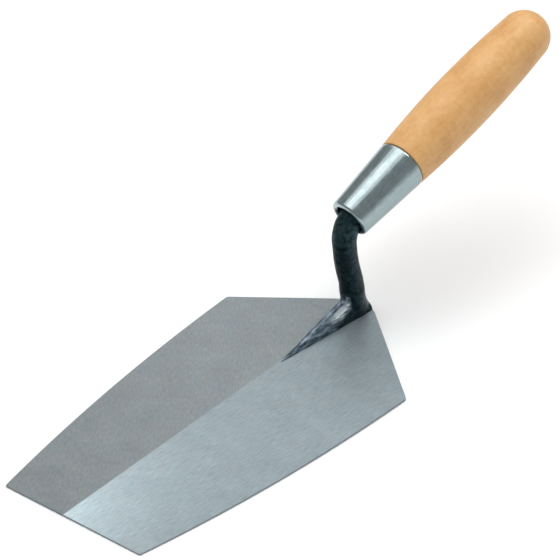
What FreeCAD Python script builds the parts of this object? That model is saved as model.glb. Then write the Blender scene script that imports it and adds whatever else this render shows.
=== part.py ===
import FreeCAD, Part
import math
import os

V = FreeCAD.Vector

# A wooden-handled trowel of four pieces: blade, forged shank, ferrule and handle.
# Row frame in millimetres: the underside of the blade lies in Z = 0, +X runs along the
# blade from the toe towards the handle, X = 0 is the line across the shoulders, where the
# blade is widest, and Y = 0 is the plane that shank, ferrule and handle are symmetric about.

# Blade: a taper-ground steel plate
blade_width = 119.5        # across the shoulders
toe_width = 86.3           # across the blunt toe edge
blade_length = 231.0       # toe edge to the corner where the two heel edges would meet
heel_setback = 45.9        # shoulder line to that same corner
side_bow = 3.5             # how far each long side bulges beyond its straight chord
outline_offset = 3.0       # middle of the plate to one side of the plane of shank and handle
heel_radius = 18.0         # rounding of the heel corner under the shank
shoulder_radius = 1.6
toe_radius = 1.0
ridge_thick_heel = 1.8     # thickness on the ground ridge, at the heel
ridge_thick_toe = 1.1      # thickness on the ground ridge, at the toe
side_thinning = 0.35       # thickness lost over half the blade's width, away from the ridge
ridge_drift = 3.5          # sideways run of the ridge by the time it reaches the toe

# Shank: one forging, with a tapered root on the blade, a leaning neck and a tang
root_length = 66.0         # point of the root to the heel corner
root_half_width = 8.2      # at the heel corner
root_height = 8.6         # crest of the root where the neck's axis stands on it
root_back_height = 2.6     # crest of the root at the heel corner
root_point_half_width = 0.4
root_point_height = 0.3
root_fullness = 0.69       # 0.5 gives flat flanks, 0.7 gives nearly half-round ones
neck_diameter = 11.8
neck_foot_setback = 11.2   # heel corner to the neck's axis, on the blade
neck_lean = 12.5           # degrees forward of upright
neck_bend_radius = 13.5    # centreline of the bend into the ferrule
foot_height = 15.0         # height over which the neck flares into the root
foot_length = 17.0         # flared foot on the blade, along X
foot_width = 13.6          # flared foot on the blade, along Y
tang_length = 84.0         # ferrule mouth to the tang's tip
tang_tip_radius = 2.4

# Handle line: the common axis of ferrule, tang and handle
mouth_rise = 63.6          # centre of the ferrule mouth above the blade's underside
mouth_setback = 17.6       # that centre ahead of the heel corner, along X
handle_tilt = 15.4         # degrees above the blade

# Ferrule: a tapered steel sleeve with a turned-in lip
ferrule_length = 41.0
ferrule_mouth_radius = 10.95
ferrule_joint_radius = 13.6
ferrule_wall = 1.0
lip_depth = 1.1            # length of the rounded lip
lip_opening_radius = 9.2

# Handle: turned hardwood, shouldered against the ferrule
handle_length = 151.0      # ferrule mouth to the end of the butt
wood_proud = 0.05          # the wood stands this much proud of the ferrule at their joint
belly_radius = 15.45
belly_place = 88.0         # ferrule mouth to the thickest point
butt_radius = 13.35
tenon_setback = 8.0        # ferrule mouth to the front of the wooden tenon
tang_clearance = 0.15      # glue line round the tang
bore_end_gap = 0.6         # bottom of the bore beyond the tang's tip

# Working allowance of the modelling itself
overrun = 10.0             # how far trimming shapes run past what they trim

heel_corner_x = heel_setback
toe_x = heel_setback - blade_length
half_width = blade_width / 2
half_toe = toe_width / 2

tilt = math.radians(handle_tilt)
lean = math.radians(neck_lean)
mouth = V(heel_corner_x - mouth_setback, 0, mouth_rise)
handle_direction = V(math.cos(tilt), 0, math.sin(tilt))
neck_direction = V(-math.sin(lean), 0, math.cos(lean))


def ridge_share(x):
    """How far along the blade a place is: 0 at the heel corner, 1 at the toe."""
    return (heel_corner_x - x) / blade_length


def ridge_thickness(x):
    """Blade thickness on the ridge."""
    return ridge_thick_heel + (ridge_thick_toe - ridge_thick_heel) * ridge_share(x)


def ridge_y(x):
    """Sideways place of the ridge: under the root at the heel, drifting towards the toe."""
    return ridge_drift * ridge_share(x)


def toe_corner(side):
    return V(toe_x, side * half_toe - outline_offset, 0)


def shoulder_corner(side):
    return V(0, side * half_width - outline_offset, 0)


def side_edge(side):
    """One long side, from toe to shoulder; side is 1 for the +Y side and -1 for the other."""
    toe = toe_corner(side)
    shoulder = shoulder_corner(side)
    chord = shoulder - toe
    chord.normalize()
    outward = V(-chord.y, chord.x, 0) * side
    return Part.Arc(toe, (toe + shoulder) * 0.5 + outward * side_bow, shoulder).toShape()


def blade_outline():
    """The blade in plan, as a closed face in Z = 0 with sharp corners."""
    heel_corner = V(heel_corner_x, 0, 0)
    edges = [
        Part.LineSegment(toe_corner(-1), toe_corner(1)).toShape(),
        side_edge(1),
        Part.LineSegment(shoulder_corner(1), heel_corner).toShape(),
        Part.LineSegment(heel_corner, shoulder_corner(-1)).toShape(),
        side_edge(-1),
    ]
    return Part.Face(Part.Wire(edges))


def upright_edges(solid, corner):
    """The vertical edges of a prism that stand on one corner of its outline."""
    found = []
    for edge in solid.Edges:
        ends = [vertex.Point for vertex in edge.Vertexes]
        if all(math.hypot(end.x - corner.x, end.y - corner.y) < 1e-6 for end in ends):
            found.append(edge)
    return found


def blade_prism():
    """The blade's rounded outline, far taller than the blade."""
    prism = blade_outline().extrude(V(0, 0, mouth_rise))
    for side in (1, -1):
        shoulder = shoulder_corner(side)
        prism = prism.makeFillet(shoulder_radius, upright_edges(prism, shoulder))
        prism = prism.makeFillet(toe_radius, upright_edges(prism, toe_corner(side)))
    return prism.makeFillet(heel_radius, upright_edges(prism, V(heel_corner_x, 0, 0)))


def ground_stock():
    """The plate as ground: flat below, and falling away on both sides of the ridge above."""
    slope = side_thinning / half_width
    reach = half_width + outline_offset + overrun
    sections = []
    for x in (toe_x - overrun, heel_corner_x + overrun):
        crest = ridge_thickness(x)
        y = ridge_y(x)
        corners = [
            V(x, -reach, 0),
            V(x, reach, 0),
            V(x, reach, crest - slope * (reach - y)),
            V(x, y, crest),
            V(x, -reach, crest - slope * (reach + y)),
        ]
        sections.append(Part.makePolygon(corners + [corners[0]]))
    return Part.makeLoft(sections, True, True)


def make_blade(outline):
    return outline.common(ground_stock())


def root_section(x, half, height):
    """A gable with full flanks, standing across the blade on Z = 0."""
    left = V(x, half, 0)
    right = V(x, -half, 0)
    crest = V(x, 0, height)
    flank_left = V(x, half * root_fullness, height * root_fullness)
    flank_right = V(x, -half * root_fullness, height * root_fullness)
    edges = [
        Part.LineSegment(left, right).toShape(),
        Part.Arc(right, flank_right, crest).toShape(),
        Part.Arc(crest, flank_left, left).toShape(),
    ]
    return Part.Wire(edges)


def make_root():
    """The tapered root, from its point on the blade to the heel corner, before trimming."""
    point_x = heel_corner_x - root_length
    neck_x = heel_corner_x - neck_foot_setback
    seat = ridge_thickness(neck_x)
    width_share = (neck_x - point_x) / root_length
    neck_half = root_point_half_width + (root_half_width - root_point_half_width) * width_share
    point = root_section(point_x, root_point_half_width, seat + root_point_height)
    under_neck = root_section(neck_x, neck_half, seat + root_height)
    back = root_section(heel_corner_x, root_half_width, seat + root_back_height)
    front_half = Part.makeLoft([point, under_neck], True, True)
    return front_half.fuse(Part.makeLoft([under_neck, back], True, True))


def make_foot(base, top):
    """The neck's flared foot, from an oval on the blade up to the round neck."""
    oval = Part.Ellipse(base, foot_length / 2, foot_width / 2).toShape()
    ring = Part.Circle(top, neck_direction, neck_diameter / 2).toShape()
    return Part.makeLoft([Part.Wire(oval), Part.Wire(ring)], True, True)


def bend_corner(base):
    """Where the neck's line meets the handle line, as distances along each from its start."""
    gap = mouth - base
    across = neck_direction.x * handle_direction.z - neck_direction.z * handle_direction.x
    along_neck = (gap.x * handle_direction.z - gap.z * handle_direction.x) / across
    along_handle = (gap.x * neck_direction.z - gap.z * neck_direction.x) / across
    return along_neck, along_handle


def tang_radius(along, tang_start):
    """Radius of the tapered tang at a distance from the ferrule mouth."""
    share = (along - tang_start) / (tang_length - tang_start)
    return neck_diameter / 2 + (tang_tip_radius - neck_diameter / 2) * share


neck_base_x = heel_corner_x - neck_foot_setback
neck_base = V(neck_base_x, 0, ridge_thickness(neck_base_x))
corner_on_neck, corner_on_handle = bend_corner(neck_base)
turn = math.acos(neck_direction.dot(handle_direction))
bend_tangent = neck_bend_radius * math.tan(turn / 2)
bend_start = neck_base + neck_direction * (corner_on_neck - bend_tangent)
tang_start = corner_on_handle + bend_tangent


def make_shank(blade, outline):
    radius = neck_diameter / 2
    foot_base = V(neck_base.x, 0, 0)
    foot_top = neck_base + neck_direction * foot_height
    neck = Part.makeCylinder(radius, (bend_start - foot_top).Length, foot_top, neck_direction)
    bend_side = V(neck_direction.z, 0, -neck_direction.x)
    bend_centre = bend_start + bend_side * neck_bend_radius
    ring = Part.Face(Part.Wire(Part.Circle(bend_start, neck_direction, radius).toShape()))
    bend = ring.revolve(bend_centre, V(0, 1, 0), math.degrees(turn))
    tang = Part.makeCone(
        radius,
        tang_tip_radius,
        tang_length - tang_start,
        mouth + handle_direction * tang_start,
        handle_direction,
    )
    base = make_root().fuse(make_foot(foot_base, foot_top)).common(outline)
    return base.fuse([neck, bend, tang]).cut(blade).removeSplitter()


def on_handle_line(shape):
    """Put a shape turned about its own X axis on the handle line, its origin at the mouth."""
    placed = shape.copy()
    placed.rotate(V(0, 0, 0), V(0, 1, 0), -handle_tilt)
    placed.translate(mouth)
    return placed


def turned(edges):
    """A solid of revolution about X from a closed profile given as (along, radius) edges."""
    profile = Part.Face(Part.Wire(edges))
    return profile.revolve(V(0, 0, 0), V(1, 0, 0), 360)


def line(start, end):
    return Part.LineSegment(V(start[0], start[1], 0), V(end[0], end[1], 0)).toShape()


def arc(start, middle, end):
    points = [V(point[0], point[1], 0) for point in (start, middle, end)]
    return Part.Arc(*points).toShape()


def ferrule_outer(along):
    share = along / ferrule_length
    return ferrule_mouth_radius + (ferrule_joint_radius - ferrule_mouth_radius) * share


def ferrule_inner(along):
    return ferrule_outer(along) - ferrule_wall


def make_ferrule():
    lip_outer = (lip_depth, ferrule_outer(lip_depth))
    lip_front = (0, (ferrule_outer(0) + lip_opening_radius) / 2)
    lip_inner = (lip_depth, lip_opening_radius)
    throat = (2 * lip_depth, ferrule_inner(2 * lip_depth))
    joint_inner = (ferrule_length, ferrule_inner(ferrule_length))
    joint_outer = (ferrule_length, ferrule_joint_radius)
    edges = [
        line(joint_outer, lip_outer),
        arc(lip_outer, lip_front, lip_inner),
        line(lip_inner, throat),
        line(throat, joint_inner),
        line(joint_inner, joint_outer),
    ]
    return on_handle_line(turned(edges))


def swell(start, peak, place):
    """Radius of a shallow arc that leaves its peak level and passes through start."""
    run = peak[0] - start[0]
    drop = peak[1] - start[1]
    bend = (run * run + drop * drop) / (2 * drop)
    step = peak[0] - place
    return peak[1] - bend + math.sqrt(bend * bend - step * step)


def make_handle():
    butt_centre = handle_length - butt_radius
    tenon_front = (tenon_setback, ferrule_inner(tenon_setback))
    tenon_back = (ferrule_length, ferrule_inner(ferrule_length))
    shoulder = (ferrule_length, ferrule_joint_radius + wood_proud)
    belly = (belly_place, belly_radius)
    butt_start = (butt_centre, butt_radius)
    butt_end = (handle_length, 0)
    rise_place = (ferrule_length + belly_place) / 2
    fall_place = (belly_place + butt_centre) / 2
    rise = (rise_place, swell(shoulder, belly, rise_place))
    fall = (fall_place, swell(butt_start, belly, fall_place))
    diagonal = butt_radius * math.sqrt(0.5)
    butt_middle = (butt_centre + diagonal, diagonal)
    bore_mouth = (tenon_setback, tang_radius(tenon_setback, tang_start) + tang_clearance)
    bore_bottom = (tang_length + bore_end_gap, tang_tip_radius + tang_clearance)
    edges = [
        line(bore_mouth, tenon_front),
        line(tenon_front, tenon_back),
        line(tenon_back, shoulder),
        arc(shoulder, rise, belly),
        arc(belly, fall, butt_start),
        arc(butt_start, butt_middle, butt_end),
        line(butt_end, (bore_bottom[0], 0)),
        line((bore_bottom[0], 0), bore_bottom),
        line(bore_bottom, bore_mouth),
    ]
    return on_handle_line(turned(edges))


os.makedirs("parts", exist_ok=True)
outline = blade_prism()
blade = make_blade(outline)
pieces = {
    "blade": blade,
    "shank": make_shank(blade, outline),
    "ferrule": make_ferrule(),
    "handle": make_handle(),
}
for name, shape in pieces.items():
    shape.exportStep("parts/" + name + ".step")
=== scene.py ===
import math

import bmesh
import bpy
from mathutils import Matrix, Vector


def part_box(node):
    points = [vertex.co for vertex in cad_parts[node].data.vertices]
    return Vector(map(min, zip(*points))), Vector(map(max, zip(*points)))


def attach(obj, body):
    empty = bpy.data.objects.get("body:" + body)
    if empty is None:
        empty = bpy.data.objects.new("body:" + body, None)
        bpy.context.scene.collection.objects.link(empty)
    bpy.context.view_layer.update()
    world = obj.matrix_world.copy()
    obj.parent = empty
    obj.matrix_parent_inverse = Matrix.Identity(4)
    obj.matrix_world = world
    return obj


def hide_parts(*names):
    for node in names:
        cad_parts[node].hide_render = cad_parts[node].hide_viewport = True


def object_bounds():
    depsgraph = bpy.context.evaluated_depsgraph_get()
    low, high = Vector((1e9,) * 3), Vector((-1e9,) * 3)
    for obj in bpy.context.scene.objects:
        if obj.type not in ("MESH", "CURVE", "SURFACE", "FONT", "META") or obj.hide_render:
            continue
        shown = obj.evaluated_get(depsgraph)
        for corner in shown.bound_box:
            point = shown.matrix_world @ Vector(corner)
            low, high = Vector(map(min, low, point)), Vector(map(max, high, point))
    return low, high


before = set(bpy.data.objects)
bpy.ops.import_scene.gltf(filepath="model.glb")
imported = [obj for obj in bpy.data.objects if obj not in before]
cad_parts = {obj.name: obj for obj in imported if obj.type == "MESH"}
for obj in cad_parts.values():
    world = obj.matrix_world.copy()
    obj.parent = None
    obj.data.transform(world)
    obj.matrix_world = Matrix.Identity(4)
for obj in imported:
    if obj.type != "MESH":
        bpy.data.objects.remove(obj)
cad_low, cad_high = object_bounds()
scene = bpy.context.scene


# ---------------------------------------------------------------- Blade
# One plate of spring steel, blunt at the toe, with bowed sides and a rounded heel.
# Its top is ground away on both sides of a low ridge that runs from the heel to the toe,
# and its edges are left as they were blanked, their walls painted darker than the ground faces as
# a painted dark reflection.

blade_length = 0.2310          # toe edge to the corner where the heel edges would meet
heel_setback = 0.0459          # shoulder line to that corner
half_width = 0.05975
half_toe = 0.04315
heel_corner_y = 0.0008         # how far that corner lies to the far side of the handle
near_toe_shift = (0.0023, 0.0014)         # hand grinding left three corners off square
near_shoulder_shift = (-0.0025, -0.0007)
far_shoulder_shift = (0.0010, -0.0010)
far_bow = 0.0035               # how far each long side bows out
near_bow = 0.0040
bow_stations = 24
heel_rounding = 0.0150
shoulder_rounding = 0.0010
toe_rounding = 0.0006
ridge_at_heel = 0.0018         # thickness on the ridge
ridge_at_toe = 0.0011
ridge_at_heel_y = 0.0018       # where the ridge starts at the heel, to the far side
ridge_drift = 0.0017           # how far it wanders further on its way to the toe
edge_thinning = 0.00035        # how much thinner the plate is at the shoulders
fall_away = edge_thinning / half_width
broken_edge = 0.00014          # the sharp edge taken off by the grinder
blank_margin = 0.0040          # spare steel all round the outline
grinding_stock = 0.0005        # spare steel over the ridge
near_grinding = math.radians(4)           # how the lines of each grinding run
fine_grinding = math.radians(9)
far_grinding = math.radians(-32)
finish_change = 0.0006         # width of the change from one ground finish to the other
painted_highlight_reach = 0.060            # the near face's painted highlight fades out this far from the ridge
corner_reach = 0.0005          # a vertex this close to a corner is that corner
same_place = 1e-6              # vertices this close are merged


class Wire:
    """A number that varies over a surface. Sums on it add Math nodes."""

    def __init__(self, finish, socket):
        self.finish = finish
        self.socket = socket

    def math(self, operation, *values):
        sockets = dict(enumerate(values))
        return self.finish.node("ShaderNodeMath", {"operation": operation}, sockets)

    def __add__(self, other):
        return self.math("ADD", self, other)

    def __sub__(self, other):
        return self.math("SUBTRACT", self, other)

    def __rsub__(self, other):
        return self.math("SUBTRACT", other, self)

    def __mul__(self, other):
        return self.math("MULTIPLY", self, other)

    def __truediv__(self, other):
        return self.math("DIVIDE", self, other)

    def __pow__(self, other):
        return self.math("POWER", self, other)

    def __abs__(self):
        return self.math("ABSOLUTE", self)

    def held(self):
        """The same number, kept between 0 and 1."""
        return self.math("MINIMUM", self.math("MAXIMUM", self, 0.0), 1.0)

    def spread(self, contrast):
        """A noise, which bunches around one half, spread over 0 to 1."""
        return ((self - 0.5) * contrast + 0.5).held()

    __radd__ = __add__
    __rmul__ = __mul__


class Finish:
    """A surface finish, built up node by node."""

    def __init__(self, name, **constants):
        self.material = bpy.data.materials.new(name)
        self.material.use_nodes = True
        self.tree = self.material.node_tree
        self.shader = self.tree.nodes["Principled BSDF"]
        for socket, value in constants.items():
            self.shader.inputs[socket.replace("_", " ")].default_value = value

    def node(self, kind, settings=(), sockets=(), output=0):
        """Add a node: its settings first, then the values or links of its sockets."""
        made = self.tree.nodes.new(kind)
        for setting, value in dict(settings).items():
            setattr(made, setting, value)
        for socket, value in dict(sockets).items():
            if isinstance(value, Wire):
                self.tree.links.new(value.socket, made.inputs[socket])
            else:
                made.inputs[socket].default_value = value
        return Wire(self, made.outputs[output])

    def place(self, turn=(0, 0, 0), stretch=(1, 1, 1), origin=(0, 0, 0)):
        """Places on the object, taken from an origin, turned, then stretched."""
        raw = self.node("ShaderNodeTexCoord", output="Object")
        moved = self.node("ShaderNodeVectorMath", {"operation": "SUBTRACT"}, {0: raw, 1: origin})
        turned = self.node(
            "ShaderNodeMapping", {"vector_type": "POINT"}, {"Vector": moved, "Rotation": turn}
        )
        sockets = {0: turned, 1: stretch}
        return self.node("ShaderNodeVectorMath", {"operation": "MULTIPLY"}, sockets)

    def axes(self, vector):
        """The x, y and z of a place."""
        return [self.node("ShaderNodeSeparateXYZ", (), {0: vector}, axis) for axis in range(3)]

    def noise(self, vector, scale=1.0, detail=2.0, roughness=0.5):
        sockets = {"Vector": vector, "Scale": scale, "Detail": detail, "Roughness": roughness}
        return self.node("ShaderNodeTexNoise", (), sockets)

    def blend(self, share, first, second, mode="MIX"):
        """One colour into another by a share."""
        settings = {"data_type": "RGBA", "blend_type": mode}
        first, second = [c if isinstance(c, Wire) else (*c, 1) for c in (first, second)]
        return self.node("ShaderNodeMix", settings, {0: share, 6: first, 7: second}, 2)

    def relief(self, height, depth):
        """A fine surface relief, depth in metres from its lowest to its highest place."""
        sockets = {"Height": height, "Strength": 1.0, "Distance": depth}
        bump = self.node("ShaderNodeBump", (), sockets)
        self.feed("Normal", bump)

    def feed(self, socket, wire):
        self.tree.links.new(wire.socket, self.shader.inputs[socket])


def start(add, name, **place):
    """Add a primitive with nothing else selected, put its place in its mesh, and edit it."""
    bpy.ops.object.select_all(action="DESELECT")
    add(**place)
    piece = bpy.context.object
    piece.name = piece.data.name = name
    bpy.ops.object.transform_apply(location=True, rotation=True, scale=True)
    bpy.ops.object.mode_set(mode="EDIT")
    return piece


def pick(piece, kind, test):
    """In edit mode, select only the VERT, EDGE or FACE parts whose middle passes a test."""
    bpy.ops.mesh.select_mode(type=kind)
    bpy.ops.mesh.select_all(action="DESELECT")
    mesh = bmesh.from_edit_mesh(piece.data)
    parts = {"VERT": mesh.verts, "EDGE": mesh.edges, "FACE": mesh.faces}[kind]
    for part in parts:
        if kind == "VERT":
            middle = part.co
        elif kind == "EDGE":
            middle = (part.verts[0].co + part.verts[1].co) / 2
        else:
            middle = part.calc_center_median()
        if test(part, middle):
            part.select_set(True)
    mesh.select_flush_mode()
    bmesh.update_edit_mesh(piece.data)


def cut(point, outward, close=True):
    """Cut away all that lies beyond a plane."""
    bpy.ops.mesh.select_all(action="SELECT")
    bpy.ops.mesh.bisect(
        plane_co=point, plane_no=outward, clear_outer=True, use_fill=close, threshold=1e-7
    )


def tidy_mesh():
    """In edit mode, merge what coincides and turn all faces outwards."""
    bpy.ops.mesh.select_all(action="SELECT")
    bpy.ops.mesh.remove_doubles(threshold=same_place)
    bpy.ops.mesh.normals_make_consistent(inside=False)


def finish_with(piece, kind, **settings):
    """Add a modifier and apply it."""
    modifier = piece.modifiers.new(kind.title(), kind)
    for setting, value in settings.items():
        setattr(modifier, setting, value)
    bpy.context.view_layer.objects.active = piece
    bpy.ops.object.modifier_apply(modifier=modifier.name)


blade_low, blade_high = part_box("blade")
toe_x = blade_low.x
heel_x = toe_x + blade_length
shoulder_x = heel_x - heel_setback
plate_y = (blade_low.y + blade_high.y) / 2
plate_middle = Vector(((toe_x + heel_x) / 2, plate_y, 0))
heel_corner = Vector((heel_x, heel_corner_y, 0))


def outline_corner(x, half, side, shift=(0, 0)):
    """A corner of the blade, on its far side (1) or near side (-1), with its shift."""
    return Vector((x + shift[0], plate_y + side * half + shift[1], 0))


far_toe = outline_corner(toe_x, half_toe, 1)
near_toe = outline_corner(toe_x, half_toe, -1, near_toe_shift)
far_shoulder = outline_corner(shoulder_x, half_width, 1, far_shoulder_shift)
near_shoulder = outline_corner(shoulder_x, half_width, -1, near_shoulder_shift)
heel_half_angle = (far_shoulder - heel_corner).angle(near_shoulder - heel_corner) / 2

# The blank: a plate with a margin all round, cut along its five edges.
blade = start(bpy.ops.mesh.primitive_plane_add, "blade_ground", size=1, location=plate_middle)
bpy.ops.mesh.select_all(action="SELECT")
bpy.ops.transform.resize(
    value=(blade_length + 2 * blank_margin, 2 * (half_width + blank_margin), 1),
    center_override=plate_middle,
)
for first, second in (
    (far_toe, far_shoulder),
    (far_shoulder, heel_corner),
    (heel_corner, near_shoulder),
    (near_shoulder, near_toe),
    (near_toe, far_toe),
):
    along = (second - first).normalized()
    cut(first, Vector((-along.y, along.x, 0)), close=False)

# The long sides are pushed out into their shallow bow, station by station.
for toe, shoulder, side, bow in (
    (far_toe, far_shoulder, 1, far_bow),
    (near_toe, near_shoulder, -1, near_bow),
):
    chord = shoulder - toe
    outward = Vector((-chord.y, chord.x, 0)).normalized() * side
    halfway = (toe + shoulder) / 2
    pick(blade, "EDGE", lambda edge, middle: (middle - halfway).length < corner_reach)
    bpy.ops.mesh.subdivide(number_cuts=bow_stations - 1)
    for station in range(1, bow_stations):
        share = station / bow_stations
        spot = toe + chord * share
        pick(blade, "VERT", lambda vertex, middle: (middle - spot).length < corner_reach)
        bpy.ops.transform.translate(value=outward * bow * (1 - (2 * share - 1) ** 2))

# The five corners are rounded: the heel widely, the others just enough not to cut.
for corner, setback, steps in (
    (heel_corner, heel_rounding / math.tan(heel_half_angle), 20),
    (far_shoulder, shoulder_rounding, 4),
    (near_shoulder, shoulder_rounding, 4),
    (far_toe, toe_rounding, 3),
    (near_toe, toe_rounding, 3),
):
    pick(blade, "VERT", lambda vertex, middle: (middle - corner).length < corner_reach)
    bpy.ops.mesh.bevel(offset=setback, segments=steps, affect="VERTICES")

bpy.ops.mesh.select_mode(type="FACE")
bpy.ops.mesh.select_all(action="SELECT")
bpy.ops.mesh.extrude_region_move(
    TRANSFORM_OT_translate={"value": (0, 0, ridge_at_heel + grinding_stock)}
)
tidy_mesh()

# Grinding: one sloping plane on each side of the ridge.
thinning = (ridge_at_heel - ridge_at_toe) / blade_length
for side in (1, -1):
    along_fall = thinning - side * fall_away * ridge_drift / blade_length
    cut((heel_x, ridge_at_heel_y, ridge_at_heel), (-along_fall, side * fall_away, 1))
tidy_mesh()
bpy.ops.object.mode_set(mode="OBJECT")

# Ground steel: the near face shows long fine grinding lines and a painted highlight towards the
# toe by the ridge, and the far face was ground across; its painted reflection level is duller and
# even.
steel = Finish("ground_steel", Metallic=0.65)
x, y, _ = steel.axes(steel.place())
to_toe = ((shoulder_x - x) / (shoulder_x - toe_x)).held()
ridge_y = (heel_x - x) * (ridge_drift / blade_length) + ridge_at_heel_y
near_side = ((ridge_y - y) / finish_change + 0.5).held()
lines_near = steel.noise(
    steel.place(turn=(0, 0, near_grinding), stretch=(150, 1500, 1)), detail=3, roughness=0.65
)
lines_fine = steel.noise(
    steel.place(turn=(0, 0, fine_grinding), stretch=(420, 3200, 1)), detail=2, roughness=0.6
)
lines_far = steel.noise(
    steel.place(turn=(0, 0, far_grinding), stretch=(260, 1300, 1)), detail=3, roughness=0.6
)
clouding = steel.noise(steel.place(), scale=55, detail=3, roughness=0.55)
tinting = steel.noise(steel.place(origin=(2, 0, 0)), scale=240, detail=3, roughness=0.6)

# Brightness: each face has its own painted reflection level and its own lines, and both share
# fine lines and clouds.
# Painted highlight: the near face is painted brighter towards the toe by the ridge.
near_painted_highlight = (1 - abs(ridge_y - y) / painted_highlight_reach).held() ** 1.5 * (to_toe ** 3.0)
near_lines_and_painted_reflection = 0.40 + 0.36 * near_painted_highlight
near_lines_and_painted_reflection = near_lines_and_painted_reflection + (lines_near - 0.5) * (0.30 + 0.45 * near_painted_highlight)
far_lines_and_painted_reflection = 0.35 - 0.06 * to_toe + (lines_far - 0.5) * 0.20
level = near_lines_and_painted_reflection * near_side + far_lines_and_painted_reflection * (1 - near_side)
level = level + (lines_fine - 0.5) * 0.16 + (clouding - 0.5) * 0.10

# Colour: a cool tint that varies a little, more neutral on the far face.
warmth = tinting.spread(2.2)
far_tint = steel.blend(warmth, (0.80, 0.94, 1.0), (0.90, 0.94, 0.94))
near_tint = steel.blend(warmth, (0.74, 0.92, 1.0), (0.81, 0.92, 0.97))
tint = steel.blend(near_side, far_tint, near_tint)
steel.feed("Base Color", steel.blend(1.0, tint, level.held(), mode="MULTIPLY"))
steel.feed("Roughness", 0.49 + (lines_fine - 0.5) * 0.12 + (1 - near_side) * 0.05)
steel.relief(
    lines_near * near_side + lines_far * (1 - near_side) + lines_fine * 0.6, 0.000012
)

# Edge walls: painted darker, a painted dark reflection, with short marks across the plate's
# thickness.
edge_steel_painted_dark = Finish("edge_painted_dark", Metallic=1.0)
edge_marks = edge_steel_painted_dark.noise(edge_steel_painted_dark.place(stretch=(420, 420, 2600)), detail=3)
# Painted dark reflection: the edge walls are painted darker than the ground faces.
edge_painted_dark_tone = edge_steel_painted_dark.blend(edge_marks, (0.14, 0.155, 0.175), (0.32, 0.345, 0.375))
edge_steel_painted_dark.feed("Base Color", edge_painted_dark_tone)
edge_steel_painted_dark.feed("Roughness", 0.42 + edge_marks * 0.2)
edge_steel_painted_dark.relief(edge_marks, 0.00003)

blade.data.materials.append(steel.material)
blade.data.materials.append(edge_steel_painted_dark.material)
for face in blade.data.polygons:
    face.material_index = 1 if abs(face.normal.z) < 0.5 else 0
finish_with(
    blade, "BEVEL", width=broken_edge, segments=2, limit_method="ANGLE",
    angle_limit=math.radians(40), material=0,
)
bpy.ops.object.shade_smooth_by_angle(angle=math.radians(30))
bpy.ops.object.mode_set(mode="EDIT")
pick(blade, "FACE", lambda face, middle: abs(face.normal.z) > 0.9999)
bpy.ops.mesh.faces_shade_flat()
bpy.ops.object.mode_set(mode="OBJECT")
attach(blade, "root")
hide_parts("blade")


# ---------------------------------------------------------------- Shank
# One steel forging: a tapered root that is fused to the blade, a round neck that leans
# forward and turns into the handle line, and a tapered tang driven up inside the handle.
# It keeps its black forging scale, matt on the neck; on the root its lit side is painted brighter
# as painted light, with a painted highlight.

root_length = 0.0678
root_half_width = 0.0079
root_height = 0.0112
root_point = 0.0005            # half the thickness of its sharp tip
root_sideways = 0.0014         # the forging sits a little to the far side of the handle
root_sink = 0.00006            # how far it is let into the ridge
foot_sideways = 0.0008
foot_half_length = 0.0092
foot_half_width = 0.0064
neck_radius = 0.0059
neck_foot_setback = 0.0112     # from the heel corner to the middle of the neck's foot
neck_foot_height = 0.0100      # where the round neck starts, inside the foot
neck_lean = math.radians(12.5)
ring_sides = 32
neck_sway = ((0.12, 0.0005), (0.3, 0.0004), (0.5, -0.0002), (0.75, -0.0006), (1.0, 0.0))
bend_radius = 0.0135
bend_steps = 12
bend_swelling = 1.010          # each ring in the bend's first half over the ring before it
bend_shrinking = 0.991         # and in its second half
tang_length = 0.0840
tang_tip_radius = 0.0024
handle_tilt = math.radians(15.4)
handle_length = 0.1510
butt_radius = 0.01335
heel_flats = range(-36, 37, 8)            # degrees: the flats that follow the rounded heel
forging_grain = 0.0003         # the finest detail that the forging keeps
smoothing_passes = 40
smoothing_loss = 0.00030       # what the smoothing takes off the neck, put back first
hammer_depth = 0.00035
hammer_spacing = 0.006
root_top = 0.0125              # the finish of the root fades into the neck's above this height
root_top_fade = 0.005
painted_light_reach = 0.0038          # how far the painted light on the upper side reaches over the crest at the neck
painted_light_reach_gain = 0.0040     # and how much further at the tip
painted_light_fade = 0.0014
flank_start = 0.0026           # the far flank, where the painted light fades, from the crest
flank_fade = 0.0020
highlight_from_tip = 0.0435         # the middle of the painted highlight patch, then half its size
highlight_beside_crest = 0.0027
highlight_half_length = 0.0090
highlight_half_width = 0.0020
painted_light_height = 0.0500           # the scale is painted greyer and greener above this height: painted light
painted_light_height_fade = 0.0080

handle_line = Vector((math.cos(handle_tilt), 0, math.sin(handle_tilt)))
neck_line = Vector((-math.sin(neck_lean), 0, math.cos(neck_lean)))
handle_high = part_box("handle")[1]
butt_centre = Vector((handle_high.x - butt_radius, 0, handle_high.z - butt_radius))
mouth = butt_centre - handle_line * (handle_length - butt_radius)


def crest(x):
    """Thickness of the blade on its ridge."""
    return ridge_at_heel - thinning * (heel_x - x)


def next_ring(centre, ahead, turn=0.0, growth=(1, 1, 1)):
    """Extrude the selected ring from its centre to the next one, turned and scaled there."""
    bpy.ops.mesh.extrude_region_move(TRANSFORM_OT_translate={"value": ahead - centre})
    if turn:
        bpy.ops.transform.rotate(value=turn, orient_axis="Y", center_override=ahead)
    bpy.ops.transform.resize(value=growth, center_override=ahead)
    return ahead


def trim_to_heel():
    """Cut the piece being edited flush with the blade's rounded heel, by flats round it."""
    left = (far_shoulder - heel_corner).normalized()
    right = (near_shoulder - heel_corner).normalized()
    inward = (left + right).normalized()
    heel_centre = heel_corner + inward * heel_rounding / math.sin(left.angle(right) / 2)
    for degrees in heel_flats:
        turn = math.radians(degrees)
        facing = Vector((math.cos(turn), math.sin(turn), 0))
        cut(heel_centre + facing * heel_rounding, facing)


neck_x = heel_x - neck_foot_setback
root_tip_x = heel_x - root_length
foot = Vector((neck_x, 0, crest(neck_x)))

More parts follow.
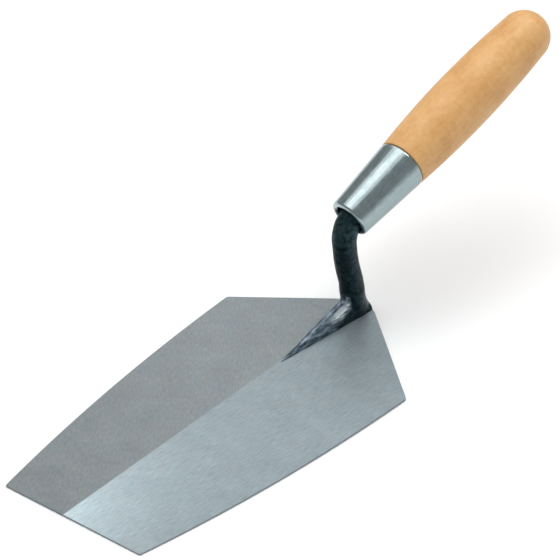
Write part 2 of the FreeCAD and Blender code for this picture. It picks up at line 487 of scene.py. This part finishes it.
# Root: oval rings along the blade, half of each sunk in it until the underside is cut.
# Each row gives the distance from the tip and the height over the ridge.
root = start(
    bpy.ops.mesh.primitive_circle_add,
    "root",
    vertices=ring_sides,
    radius=root_point,
    fill_type="NGON",
    location=(root_tip_x, root_sideways, crest(root_tip_x)),
    rotation=(0, math.radians(90), 0),
)
bpy.ops.mesh.select_all(action="SELECT")
centre = Vector((root_tip_x, root_sideways, crest(root_tip_x)))
half, rise = root_point, root_point
for from_tip, next_rise in (
    (0.0190, 0.0034),
    (0.0330, 0.0073),
    (0.0450, 0.0097),
    (root_length - neck_foot_setback, root_height),
    (root_length - neck_foot_setback + 0.0035, 0.0042),
    (root_length, 0.0012),
):
    ahead = Vector((root_tip_x + from_tip, root_sideways, crest(root_tip_x + from_tip)))
    next_half = root_point + (root_half_width - root_point) * from_tip / root_length
    centre = next_ring(centre, ahead, growth=(1, next_half / half, next_rise / rise))
    half, rise = next_half, next_rise
tidy_mesh()
trim_to_heel()
bpy.ops.object.mode_set(mode="OBJECT")

# Foot: an oval on the blade that closes in to the round neck.
# Each row gives the distance up the neck, half the length and half the width.
shank = start(
    bpy.ops.mesh.primitive_circle_add,
    "shank_forged",
    vertices=ring_sides,
    radius=neck_radius,
    fill_type="NGON",
    location=(neck_x, foot_sideways, 0),
)
bpy.ops.mesh.select_all(action="SELECT")
centre = Vector((neck_x, foot_sideways, 0))
length_now, width_now = foot_half_length, foot_half_width
bpy.ops.transform.resize(
    value=(length_now / neck_radius, width_now / neck_radius, 1), center_override=centre
)
for height, next_length, next_width in (
    (0.0015, 0.0086, 0.0063),
    (0.0040, 0.0077, 0.0062),
    (0.0080, 0.0069, 0.0062),
    (0.0120, 0.0064, 0.0062),
    (0.0180, 0.0061, 0.0061),
):
    ahead = foot + neck_line * height + Vector((0, foot_sideways, 0))
    growth = (next_length / length_now, next_width / width_now, 1)
    centre = next_ring(centre, ahead, growth=growth)
    length_now, width_now = next_length, next_width
tidy_mesh()
trim_to_heel()
bpy.ops.object.mode_set(mode="OBJECT")

# Neck, bend and tang: round rings up the neck line, round the bend, along the handle line.
# The neck sways a little from the hammering, by the second figure of each pair at the share
# of its run that the first one gives, and it swells a little where it bends.
gap = mouth - foot
across = neck_line.x * handle_line.z - neck_line.z * handle_line.x
corner_on_neck = (gap.x * handle_line.z - gap.z * handle_line.x) / across
bend_turn = neck_line.angle(handle_line)
bend_tangent = bend_radius * math.tan(bend_turn / 2)
bend_start = foot + neck_line * (corner_on_neck - bend_tangent)
bend_side = Vector((neck_line.z, 0, -neck_line.x))
bend_centre = bend_start + bend_side * bend_radius
neck_start = foot + neck_line * neck_foot_height + Vector((0, foot_sideways, 0))
neck = start(
    bpy.ops.mesh.primitive_circle_add,
    "neck",
    vertices=ring_sides,
    radius=neck_radius + smoothing_loss,
    fill_type="NGON",
    location=neck_start,
    rotation=(0, -neck_lean, 0),
)
bpy.ops.mesh.select_all(action="SELECT")
centre = neck_start
for share, sway in neck_sway:
    centre = next_ring(centre, neck_start.lerp(bend_start, share) + bend_side * sway)
for step in range(1, bend_steps + 1):
    swept = bend_turn * step / bend_steps
    out = Vector((-math.cos(neck_lean - swept), 0, -math.sin(neck_lean - swept)))
    ahead = bend_centre + out * bend_radius
    swelling = bend_swelling if step <= bend_steps / 2 else bend_shrinking
    centre = next_ring(centre, ahead, turn=-bend_turn / bend_steps, growth=[swelling] * 3)
tang_end = mouth + handle_line * tang_length
centre = next_ring(centre, tang_end, growth=[tang_tip_radius / neck_radius] * 3)
tidy_mesh()
bpy.ops.object.mode_set(mode="OBJECT")
for part in (root, shank, neck):
    part.select_set(True)
bpy.context.view_layer.objects.active = shank
bpy.ops.object.join()

# The three are forged into one, and the underside is cut flat to lie on the blade.
finish_with(shank, "REMESH", mode="VOXEL", voxel_size=forging_grain)
finish_with(shank, "SMOOTH", factor=0.5, iterations=smoothing_passes)
hammering = bpy.data.textures.new("hammering", "CLOUDS")
hammering.noise_scale = hammer_spacing
hammering.noise_depth = 1
finish_with(shank, "DISPLACE", texture=hammering, strength=hammer_depth, texture_coords="LOCAL")
bpy.ops.object.mode_set(mode="EDIT")
cut((heel_x, 0, ridge_at_heel - root_sink), (thinning, 0, -1))
bpy.ops.object.mode_set(mode="OBJECT")
bpy.ops.object.shade_smooth_by_angle(angle=math.radians(40))

# Forging scale: nearly black and mottled, with a few rusty places.
scale_black = Finish("black_forging_scale", Metallic=0.96)
sx, sy, sz = scale_black.axes(scale_black.place())
on_root = (1 - (sz - root_top) / root_top_fade).held()
to_tip = ((neck_x - sx) / (neck_x - root_tip_x)).held()
blotches = scale_black.noise(scale_black.place(), scale=420, detail=4, roughness=0.6)
patches = scale_black.noise(scale_black.place(origin=(3, 0, 0)), scale=150, detail=3)
pits = scale_black.noise(scale_black.place(), scale=900, detail=3, roughness=0.65)
flakes = scale_black.noise(scale_black.place(), scale=1900, detail=2, roughness=0.6)
drawn = scale_black.noise(scale_black.place(stretch=(110, 700, 700)), detail=3, roughness=0.6)
beside_crest = sy - root_sideways
from_edge = beside_crest + painted_light_reach + painted_light_reach_gain * to_tip
painted_lit_side = (from_edge / painted_light_fade + (drawn - 0.5) * 1.2).held()
far_flank_painted_shade = ((beside_crest - flank_start) / flank_fade).held()
mottled = blotches.spread(3.2)
streaks = drawn.spread(3.2)

# The root's upper side is painted grey in streaks, painted light on its lit side that fades out
# over the far flank, and one patch of it, close in front of the neck, is a painted highlight,
# nearly white.
# Painted light: the root's lit side is painted grey in streaks.
painted_light_streaks = on_root * (0.03 + 0.97 * painted_lit_side) * (1 - 0.6 * far_flank_painted_shade)
painted_light_streaks = painted_light_streaks * (0.18 + 0.50 * streaks + 0.26 * mottled)
dark = scale_black.blend(mottled, (0.002, 0.008, 0.012), (0.023, 0.052, 0.062))
rusty_share = ((patches - 0.50) * 6).held() * 0.4
dark = scale_black.blend(rusty_share, dark, (0.032, 0.024, 0.024))
# Painted light: the scale high on the neck is painted lighter and greener.
painted_light_at_bend = ((sz - painted_light_height) / painted_light_height_fade).held() * (0.04 + 0.50 * mottled)
dark = scale_black.blend(painted_light_at_bend, dark, (0.050, 0.100, 0.110))
bright = scale_black.blend(streaks, (0.12, 0.18, 0.225), (0.40, 0.50, 0.60))
# Painted highlight: a nearly white patch on the root, close in front of the neck.
highlight_along = (1 - abs(sx - root_tip_x - highlight_from_tip) / highlight_half_length).held()
highlight_across = (1 - abs(beside_crest + highlight_beside_crest) / highlight_half_width).held()
root_painted_highlight = (on_root * highlight_along * highlight_across * (0.6 + 3.2 * streaks)).held()
bright = scale_black.blend(root_painted_highlight, bright, (0.86, 0.95, 1.0))
painted_light_share = painted_light_streaks.math("MAXIMUM", painted_light_streaks, root_painted_highlight)
scale_black.feed("Base Color", scale_black.blend(painted_light_share, dark, bright))
scale_black.feed("Roughness", 0.52 - on_root * 0.19 + (pits - 0.5) * 0.25)
scale_black.relief(
    blotches * 0.4 + pits * 0.5 + flakes * 0.2 + drawn * on_root * 0.3, 0.00050
)
shank.data.materials.clear()
shank.data.materials.append(scale_black.material)
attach(shank, "root")
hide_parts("shank")


# ---------------------------------------------------------------- Ferrule
# A tapered steel sleeve, drawn and zinc plated, pressed over the handle's tenon.
# Its mouth is rolled inwards to a rounded lip and its other end is eased over the wood.

ferrule_length = 0.0410
ferrule_mouth = 0.01095
ferrule_joint = 0.01360
ferrule_wall = 0.0010
lip_roll = 0.00165             # radius of the rolled lip
lip_forward = 0.0015           # the roll stands this far out of the plain mouth
lip_end = 0.0030               # where the wall behind the roll is plain again
lip_steps = 12
mouth_slant = math.radians(7)
slant_towards = Vector((-0.222, -0.556, 0.802))
turning_steps = 128
inside_shade_start = 0.0020            # where the inside's painted shade starts, from the mouth
painted_shade_towards = (-0.978, -0.208)         # across the handle line: low on its near side
painted_shade_start = 0.80              # cosine of the angle from there where the painted shade starts
painted_shade_fade = 0.14


def turned(name, profile):
    """Draw a closed profile of (along, radius) points, spin it, and lay it on the handle line."""
    piece = start(bpy.ops.mesh.primitive_plane_add, name, size=0.001)
    bpy.ops.mesh.select_mode(type="VERT")
    bpy.ops.mesh.select_all(action="SELECT")
    bpy.ops.mesh.merge(type="CENTER")
    spot = Vector((0, 0, 0))
    first = True
    for along, radius in [*profile, profile[0]]:
        target = Vector((along, 0, radius))
        if first:
            bpy.ops.transform.translate(value=target - spot)
            first = False
        else:
            bpy.ops.mesh.extrude_region_move(TRANSFORM_OT_translate={"value": target - spot})
        spot = target
    bpy.ops.mesh.select_all(action="SELECT")
    bpy.ops.mesh.remove_doubles(threshold=same_place)
    bpy.ops.mesh.spin(steps=turning_steps, angle=math.tau, center=(0, 0, 0), axis=(1, 0, 0))
    tidy_mesh()
    bpy.ops.object.mode_set(mode="OBJECT")
    piece.matrix_world = Matrix.Translation(mouth) @ Matrix.Rotation(-handle_tilt, 4, "Y")
    bpy.ops.object.transform_apply(location=True, rotation=True, scale=True)
    bpy.ops.object.shade_smooth_by_angle(angle=math.radians(35))
    return piece


def finish_faces(piece, index, test):
    """Give one of a turned piece's finishes to the faces whose (along, radius) pass a test."""
    for face in piece.data.polygons:
        from_mouth = face.center - mouth
        along = from_mouth.dot(handle_line)
        if test(along, (from_mouth - handle_line * along).length):
            face.material_index = index


def along_handle(finish, *stretch):
    """Places from the mouth, turned on to the handle line, then stretched."""
    return finish.place(turn=(0, handle_tilt, 0), stretch=stretch, origin=mouth)


def ferrule_radius(along):
    """Outer radius of the plain sleeve at a distance from its mouth."""
    return ferrule_mouth + (ferrule_joint - ferrule_mouth) * along / ferrule_length


# The lip is a roll of round section, the cone has a ring every 5 mm, and the other end is
# rounded down to the wood: each row gives the distance back from it and the drop there.
lip = []
for step in range(lip_steps + 1):
    swept = math.radians(90 + 180 * step / lip_steps)
    lip.append(
        (
            lip_roll - lip_forward - lip_roll * math.sin(swept - math.radians(90)),
            ferrule_mouth - lip_roll + lip_roll * math.sin(swept),
        )
    )
eased_end = [
    (ferrule_length - back, ferrule_radius(ferrule_length - back) - drop)
    for back, drop in (
        (0.0024, 0.0),
        (0.0018, 0.00003),
        (0.0013, 0.00010),
        (0.0009, 0.00020),
        (0.0005, 0.00036),
        (0.0002, 0.00056),
        (0.0, 0.00085),
    )
]
cone = [(0.001 * mm, ferrule_radius(0.001 * mm)) for mm in range(3, 39, 5)]
inside = [
    (ferrule_length, ferrule_joint - ferrule_wall),
    (lip_end, ferrule_radius(lip_end) - ferrule_wall),
]
ferrule = turned("ferrule_plated", [*lip[::-1], *cone, *eased_end, *inside])

# The mouth isn't quite square: the side that faces forward and up stands out a little.
bpy.ops.object.mode_set(mode="EDIT")
pick(ferrule, "VERT", lambda vertex, middle: (middle - mouth).dot(handle_line) < lip_end / 2)
for axis, share in zip("XYZ", handle_line.cross(slant_towards)):
    bpy.ops.transform.rotate(value=-mouth_slant * share, orient_axis=axis, center_override=mouth)
bpy.ops.object.mode_set(mode="OBJECT")

# Zinc plate: bright and bluish, with faint lines from drawing, and painted darker low on its near
# side: painted shade on the floor's reflection.
zinc = Finish("zinc_plate", Metallic=1.0)
draw_lines = zinc.noise(along_handle(zinc, 60, 1700, 1700), detail=3, roughness=0.6)
plating = zinc.noise(zinc.place(), scale=260, detail=4, roughness=0.6)
stained = ((plating - 0.5) * 1.6 + (draw_lines - 0.5) * 1.6 + 0.5).held()
zinc_tone = zinc.blend(stained, (0.310, 0.390, 0.405), (0.460, 0.530, 0.535))
_, across_y, across_z = zinc.axes(along_handle(zinc, 1, 1, 1))
from_axis = (across_y ** 2.0 + across_z ** 2.0) ** 0.5
low_flank = (across_y * painted_shade_towards[0] + across_z * painted_shade_towards[1]) / from_axis
# Painted shade: the zinc is painted darker low on its near side.
zinc_painted_shade = ((low_flank - painted_shade_start) / painted_shade_fade).held() * (0.40 + 0.30 * plating)
zinc.feed("Base Color", zinc.blend(zinc_painted_shade, zinc_tone, (0.250, 0.330, 0.350)))
zinc.feed("Roughness", 0.15 + plating * 0.08 + (draw_lines - 0.5) * 0.08)
zinc.relief(draw_lines * 0.7 + plating * 0.3, 0.000012)

# Inside it is bare steel, painted near black: painted shade in the recess.
ferrule_inside_painted_dark = Finish("ferrule_inside_painted_shade", Metallic=0.6)
inside_mottle = ferrule_inside_painted_dark.noise(ferrule_inside_painted_dark.place(), scale=700, detail=3)
ferrule_inside_painted_dark.feed("Base Color", ferrule_inside_painted_dark.blend(inside_mottle, (0.008, 0.009, 0.010), (0.035, 0.036, 0.038)))
ferrule_inside_painted_dark.feed("Roughness", 0.55 + inside_mottle * 0.2)
ferrule_inside_painted_dark.relief(inside_mottle, 0.00005)
ferrule.data.materials.append(zinc.material)
ferrule.data.materials.append(ferrule_inside_painted_dark.material)
finish_faces(
    ferrule,
    1,
    lambda along, radius: along > inside_shade_start
    and radius < ferrule_radius(along) - ferrule_wall / 2,
)
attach(ferrule, "root")
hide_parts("ferrule")


# ---------------------------------------------------------------- Handle
# One piece of close-grained pale hardwood, turned to a long swell with a round butt,
# bored for the tang, tenoned into the ferrule, and finished with a satin lacquer.

belly_radius = 0.01545
belly_place = 0.0880           # from the mouth
tenon_setback = 0.0080         # the tenon stops this far inside the mouth
tang_clearance = 0.00015
bore_end = tang_length + 0.0006
shoulder_radius = ferrule_joint - 0.0001
shoulder_chamfer = 0.0004
body_steps = 24
butt_steps = 16
face_slack = 0.0001            # how near a face has to be to an end of the bore to belong to it
pith_y = -0.021                # the middle of the growth rings, across the handle line
pith_z = 0.034
ring_wander = 0.006
ring_frequency = 2600.0        # radians per metre: a ring every 2.4 mm


def swell(start_at, start_radius, along):
    """Radius of the shallow arc that leaves the belly level and passes through a start."""
    run = belly_place - start_at
    drop = belly_radius - start_radius
    arc = (run * run + drop * drop) / (2 * drop)
    return belly_radius - arc + math.sqrt(arc * arc - (belly_place - along) ** 2)


tenon_radius = ferrule_radius(ferrule_length) - ferrule_wall
butt_start = handle_length - butt_radius
body = [
    (ferrule_length, shoulder_radius - shoulder_chamfer),
    (ferrule_length + shoulder_chamfer, shoulder_radius),
]
for step in range(1, body_steps + 1):
    along = ferrule_length + (butt_start - ferrule_length) * step / body_steps
    if along < belly_place:
        body.append((along, swell(ferrule_length, shoulder_radius, along)))
    else:
        body.append((along, swell(butt_start, butt_radius, along)))
for step in range(1, butt_steps + 1):
    swept = math.radians(90) * step / butt_steps
    body.append((butt_start + butt_radius * math.sin(swept), butt_radius * math.cos(swept)))
bore = [
    (bore_end, 0.0),
    (bore_end, tang_tip_radius + tang_clearance),
    (tenon_setback, neck_radius + tang_clearance),
    (tenon_setback, ferrule_radius(tenon_setback) - ferrule_wall),
    (ferrule_length, tenon_radius),
]
handle = turned("handle_turned", [*body, *bore])

# Lacquered wood: faint growth rings about a pith outside the handle, fine fibres along it,
# broad soft clouds of colour, and a few darker flecks.
wood = Finish("lacquered_wood", Coat_Roughness=0.42, Coat_IOR=1.45)
_, hy, hz = wood.axes(along_handle(wood, 1, 1, 1))
wander = wood.noise(along_handle(wood, 14, 45, 45), detail=2)
from_pith = ((hy - pith_y) ** 2.0 + (hz - pith_z) ** 2.0) ** 0.5
ring_distance = from_pith + (wander - 0.5) * ring_wander
rings = ring_distance.math("SINE", ring_distance * ring_frequency)
fibre = wood.noise(along_handle(wood, 90, 1400, 1400), detail=4, roughness=0.65)
flecks = wood.noise(along_handle(wood, 260, 1100, 1100), detail=2)
figure = wood.noise(along_handle(wood, 60, 80, 80), detail=3)
mottle = wood.noise(wood.place(), scale=330, detail=3, roughness=0.6)
grain = 0.5 + rings * 0.05 + (fibre - 0.5) * 0.35 + (figure - 0.5) * 1.6 + (mottle - 0.5) * 1.1
pale = wood.blend(grain.held(), (0.580, 0.290, 0.090), (0.715, 0.418, 0.172))
fleck_share = ((flecks - 0.62) * 7).held() * 0.25
wood.feed("Base Color", wood.blend(fleck_share, pale, (0.50, 0.210, 0.055)))
wood.feed("Roughness", 0.50 + (fibre - 0.5) * 0.14)
wood.feed("Coat Weight", 0.12 + (figure - 0.5) * 0.10)
wood.relief(fibre * 0.5 + flecks * 0.5, 0.00003)

# The tenon's front and the bore are painted near black: painted shade inside the mouth.
bore_painted_dark = Finish("bore_painted_shade", Roughness=0.85)
bore_mottle = bore_painted_dark.noise(bore_painted_dark.place(), scale=900, detail=3)
bore_painted_dark.feed("Base Color", bore_painted_dark.blend(bore_mottle, (0.006, 0.005, 0.004), (0.030, 0.022, 0.016)))
bore_painted_dark.relief(bore_mottle, 0.00008)
handle.data.materials.append(wood.material)
handle.data.materials.append(bore_painted_dark.material)
finish_faces(
    handle,
    1,
    lambda along, radius: along < tenon_setback + face_slack
    or along < bore_end + face_slack
    and radius < neck_radius + 2 * tang_clearance,
)
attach(handle, "root")
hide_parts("handle")


# ---------------------------------------------------------------- Studio
# A pale plain floor under one wide overhead softbox with a brighter core. Small panels
# shape the gleams in the steel, and two fills that no metal mirrors soften the shadows.

azimuth = math.radians(-50.28)
elevation = math.radians(37.96)
roll = math.radians(1.01)
camera_distance = 11.935
view_width = 0.27792           # of the plane that lies view_depth behind the aimed-at point
view_depth = 0.065
aim_left = 0.01496             # the aimed-at point, from the middle of the tool
aim_down = 0.00895
sensor_width = 36              # millimetres
floor_size = 8
floor_drop = 0.0002            # the floor lies this far under the blade

bpy.ops.object.select_all(action="DESELECT")
bpy.ops.mesh.primitive_plane_add(size=floor_size, location=(0, 0, -floor_drop))
floor = bpy.context.object
floor.name = "floor"
paper = Finish("paper_floor", Roughness=0.9)
paper_grain = paper.noise(paper.place(), scale=900, detail=2)
paper.feed("Base Color", paper.blend(paper_grain, (0.95, 0.95, 0.95), (0.97, 0.97, 0.97)))
floor.data.materials.append(paper.material)

middle = (cad_low + cad_high) / 2
back = Vector(
    (
        math.sin(azimuth) * math.cos(elevation),
        -math.cos(azimuth) * math.cos(elevation),
        math.sin(elevation),
    )
)
level_right = Vector((math.cos(azimuth), math.sin(azimuth), 0))
level_up = back.cross(level_right)
target = middle - level_right * aim_left - level_up * aim_down
right = level_right * math.cos(roll) + level_up * math.sin(roll)
up = level_up * math.cos(roll) - level_right * math.sin(roll)
camera = bpy.data.objects.new("camera", bpy.data.cameras.new("camera"))
scene.collection.objects.link(camera)
pose = Matrix((right, up, back)).transposed().to_4x4()
pose.translation = target + back * camera_distance
camera.matrix_world = pose
camera.data.sensor_width = sensor_width
camera.data.lens = sensor_width * (camera_distance + view_depth) / view_width
camera.data.clip_start = 1
camera.data.clip_end = 60
scene.camera = camera


def panel(name, direction, distance, size, radiance, mirrored=True):
    """A soft rectangular light with its size across and down, never seen by the camera."""
    light = bpy.data.lights.new(name, "AREA")
    light.shape = "RECTANGLE"
    light.size, light.size_y = size
    light.energy = radiance * math.pi * size[0] * size[1]
    lamp = bpy.data.objects.new(name, light)
    scene.collection.objects.link(lamp)
    away = Vector(direction).normalized()
    lamp.location = middle + away * distance
    wide = (Vector((1, 0, 0)) - away * away.x).normalized()
    lamp.rotation_mode = "QUATERNION"
    lamp.rotation_quaternion = Matrix((wide, away.cross(wide), away)).transposed().to_quaternion()
    lamp.visible_camera = False
    lamp.visible_glossy = mirrored


panel("softbox", (0.20, 0.21, 0.95), 1.12, (1.4, 1.20), 0.85)
panel("softbox_core", (0.20, 0.21, 0.95), 1.10, (1.2, 0.56), 0.90)
panel("far_panel", (0.46, 0.63, 0.62), 1.5, (0.50, 0.50), 0.62)
panel("heel_panel", (0.61, -0.19, 0.76), 0.95, (0.24, 0.24), 4.0)
panel("near_card", (0.30, -0.95, 0.06), 1.1, (2.2, 0.30), 0.31)
panel("fill", (-0.10, 0.10, 0.98), 1.6, (1.8, 1.8), 1.50, mirrored=False)
panel("low_fill", (0.45, -0.88, 0.15), 1.5, (1.4, 0.8), 0.50, mirrored=False)

world = bpy.data.worlds.new("studio")
scene.world = world
world.use_nodes = True
world.node_tree.nodes["Background"].inputs["Color"].default_value = (0.95, 0.98, 1.0, 1)
world.node_tree.nodes["Background"].inputs["Strength"].default_value = 0.36
scene.view_settings.view_transform = "Standard"
